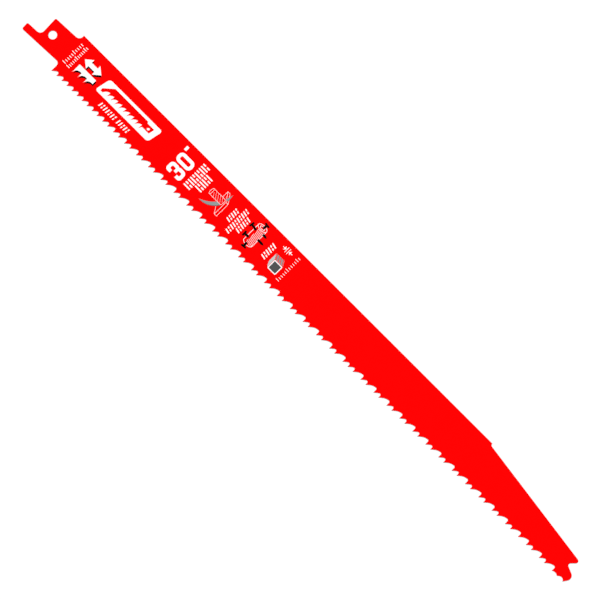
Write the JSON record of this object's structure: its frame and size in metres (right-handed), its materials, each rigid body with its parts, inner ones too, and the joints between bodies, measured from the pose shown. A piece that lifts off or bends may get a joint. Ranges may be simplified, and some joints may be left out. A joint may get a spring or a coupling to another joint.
{
  "type": "reciprocating saw blade",
  "caption": "Long thin saw blade with a pin hole and stub tang at one end, set teeth in a varied pitch along one edge, and a tapered back that ends in a hooked nose.",
  "frame": {"origin": "centre of the pin hole in the shank, at half the thickness of the steel", "axes": "+X along the back edge to the nose, +Y to the back edge so that the teeth point to -Y, +Z out of the printed side"},
  "size_m": [0.3048, 0.0187, 0.0016],
  "materials": {
    "red_coating": "even satin red coating over the whole blade, with a flat white, grey and black print on one side"
  },
  "bodies": {
    "root": {"saw_blade": "red_coating"}
  },
  "joints": []
}
